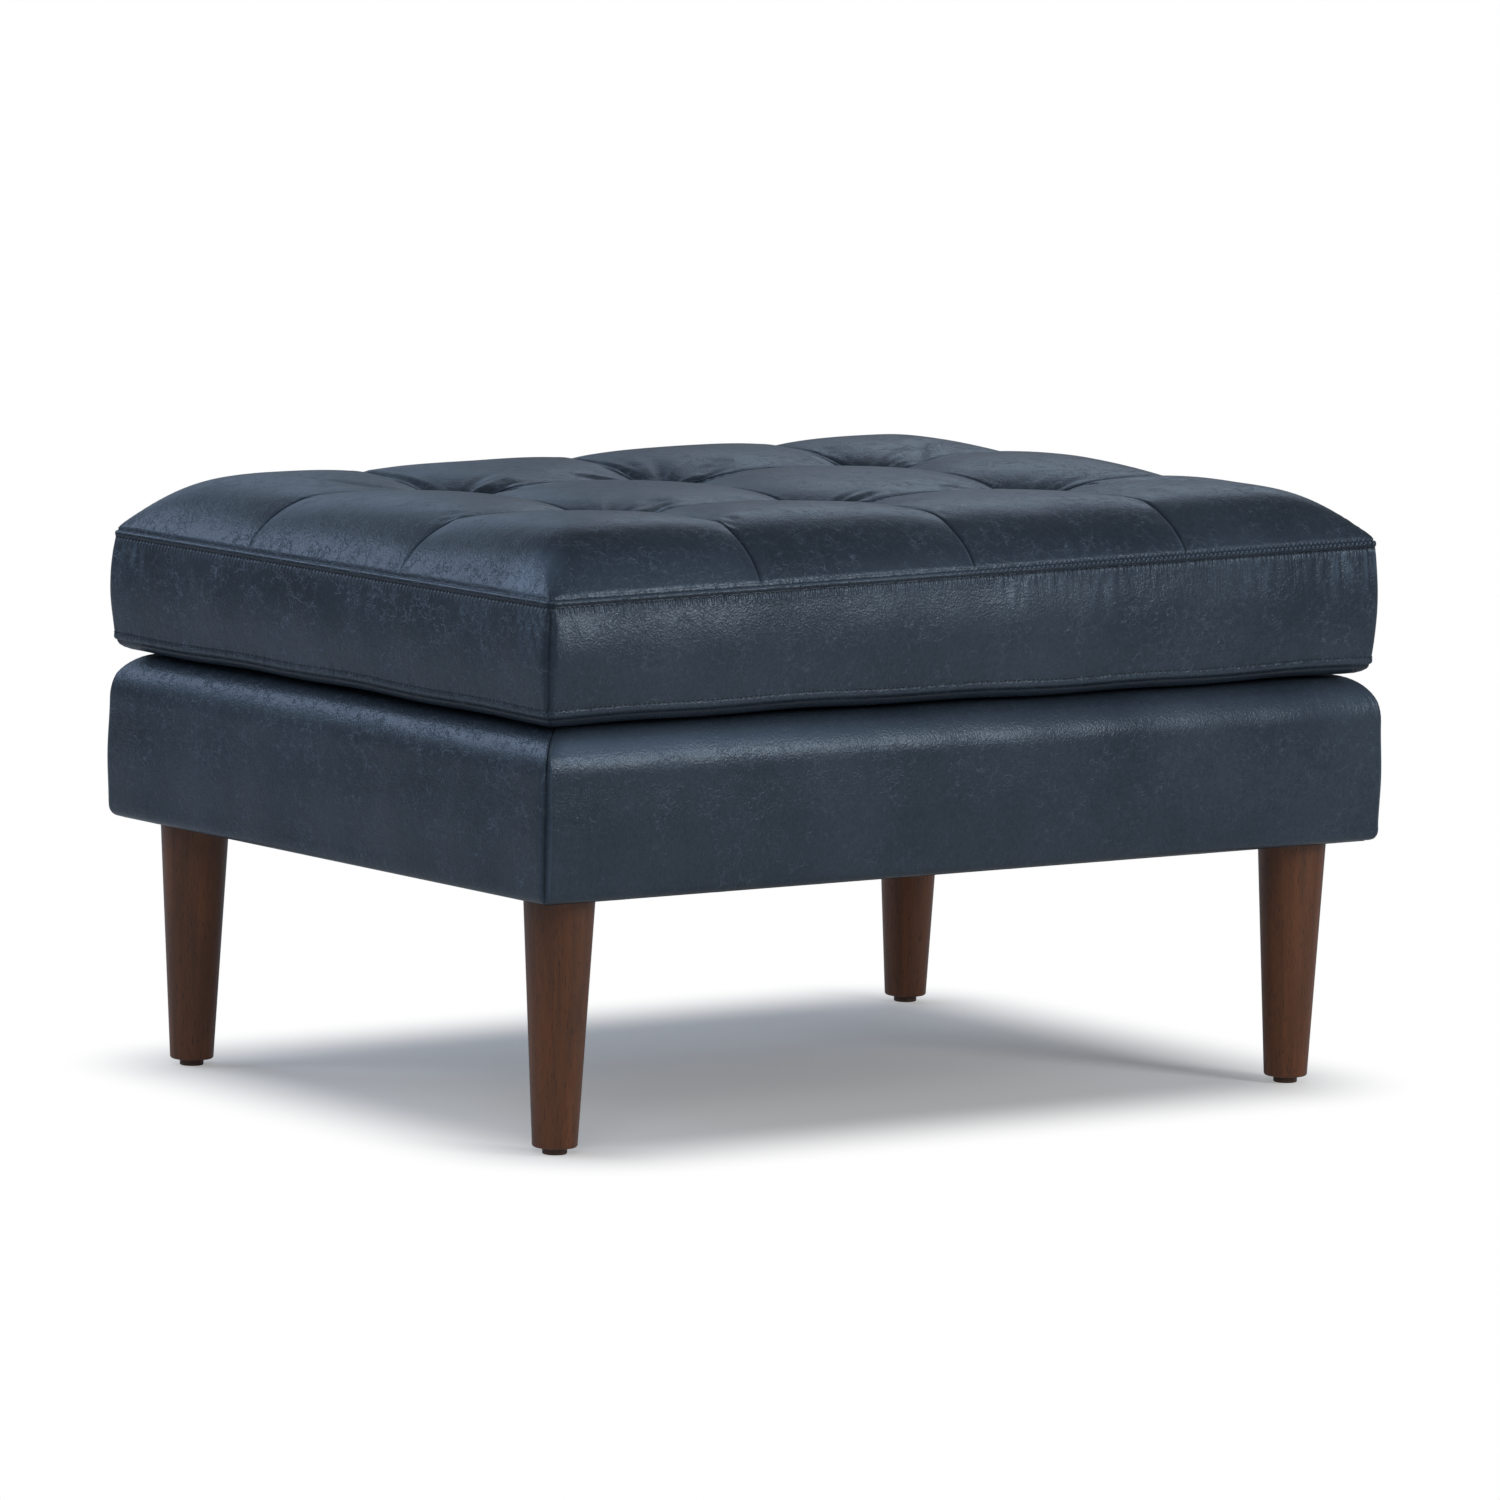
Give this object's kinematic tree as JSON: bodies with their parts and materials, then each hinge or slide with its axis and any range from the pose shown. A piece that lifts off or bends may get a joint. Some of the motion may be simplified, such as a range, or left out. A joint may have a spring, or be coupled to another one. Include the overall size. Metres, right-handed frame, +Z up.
{
  "type": "ottoman coffee table",
  "caption": "Low upholstered ottoman table: padded leather box base on tapered round legs, with a loose box cushion tufted into pillows.",
  "frame": {"origin": "on the floor below the middle of the base, which is the bottom centre of the bounding box", "axes": "+X along the long side, +Y from the front long side to the rear one, +Z up"},
  "size_m": [0.762, 0.558, 0.447],
  "materials": {
    "leather": "satin",
    "deck_canvas": "matte",
    "stained_walnut": "satin",
    "nylon": "matte",
    "frame_beech": "matte",
    "foam": "matte",
    "wadding": "matte",
    "black_cloth": "matte",
    "twine": "matte",
    "felt": "matte",
    "steel": "satin"
  },
  "bodies": {
    "base": {"base_cover_front": "leather", "base_cover_left": "leather", "base_cover_rear": "leather", "base_cover_right": "leather", "clip_nails": "steel", "corner_block_screws": "steel", "corner_blocks": "frame_beech", "cross_rail": "frame_beech", "deck_cloth": "black_cloth", "deck_cover": "deck_canvas", "deck_foam": "foam", "dust_cover": "black_cloth", "dust_cover_staples": "steel", "glide_front_left": "nylon", "glide_front_right": "nylon", "glide_rear_left": "nylon", "glide_rear_right": "nylon", "hanger_bolts": "steel", "leg_front_left": "stained_walnut", "leg_front_right": "stained_walnut", "leg_rear_left": "stained_walnut", "leg_rear_right": "stained_walnut", "rail_dowels": "frame_beech", "rail_front": "frame_beech", "rail_left": "frame_beech", "rail_rear": "frame_beech", "rail_right": "frame_beech", "seat_springs": "steel", "side_foam_front": "foam", "side_foam_left": "foam", "side_foam_rear": "foam", "side_foam_right": "foam", "spring_clips": "steel", "tee_nuts": "steel"},
    "cushion": {"boxing_front": "leather", "boxing_left": "leather", "boxing_rear": "leather", "boxing_right": "leather", "cushion_bottom_panel": "deck_canvas", "cushion_core": "foam", "cushion_wadding": "wadding", "top_panel_1_1": "leather", "top_panel_1_2": "leather", "top_panel_1_3": "leather", "top_panel_2_1": "leather", "top_panel_2_2": "leather", "top_panel_2_3": "leather", "top_panel_3_1": "leather", "top_panel_3_2": "leather", "top_panel_3_3": "leather", "top_panel_4_1": "leather", "top_panel_4_2": "leather", "top_panel_4_3": "leather", "tuft_discs": "felt", "tuft_twines": "twine"}
  },
  "joints": [
    {"name": "cushion_lift", "type": "slide", "parent": "base", "child": "cushion", "axis": [0, 0, 1], "range_m": [0, 0.25]}
  ]
}
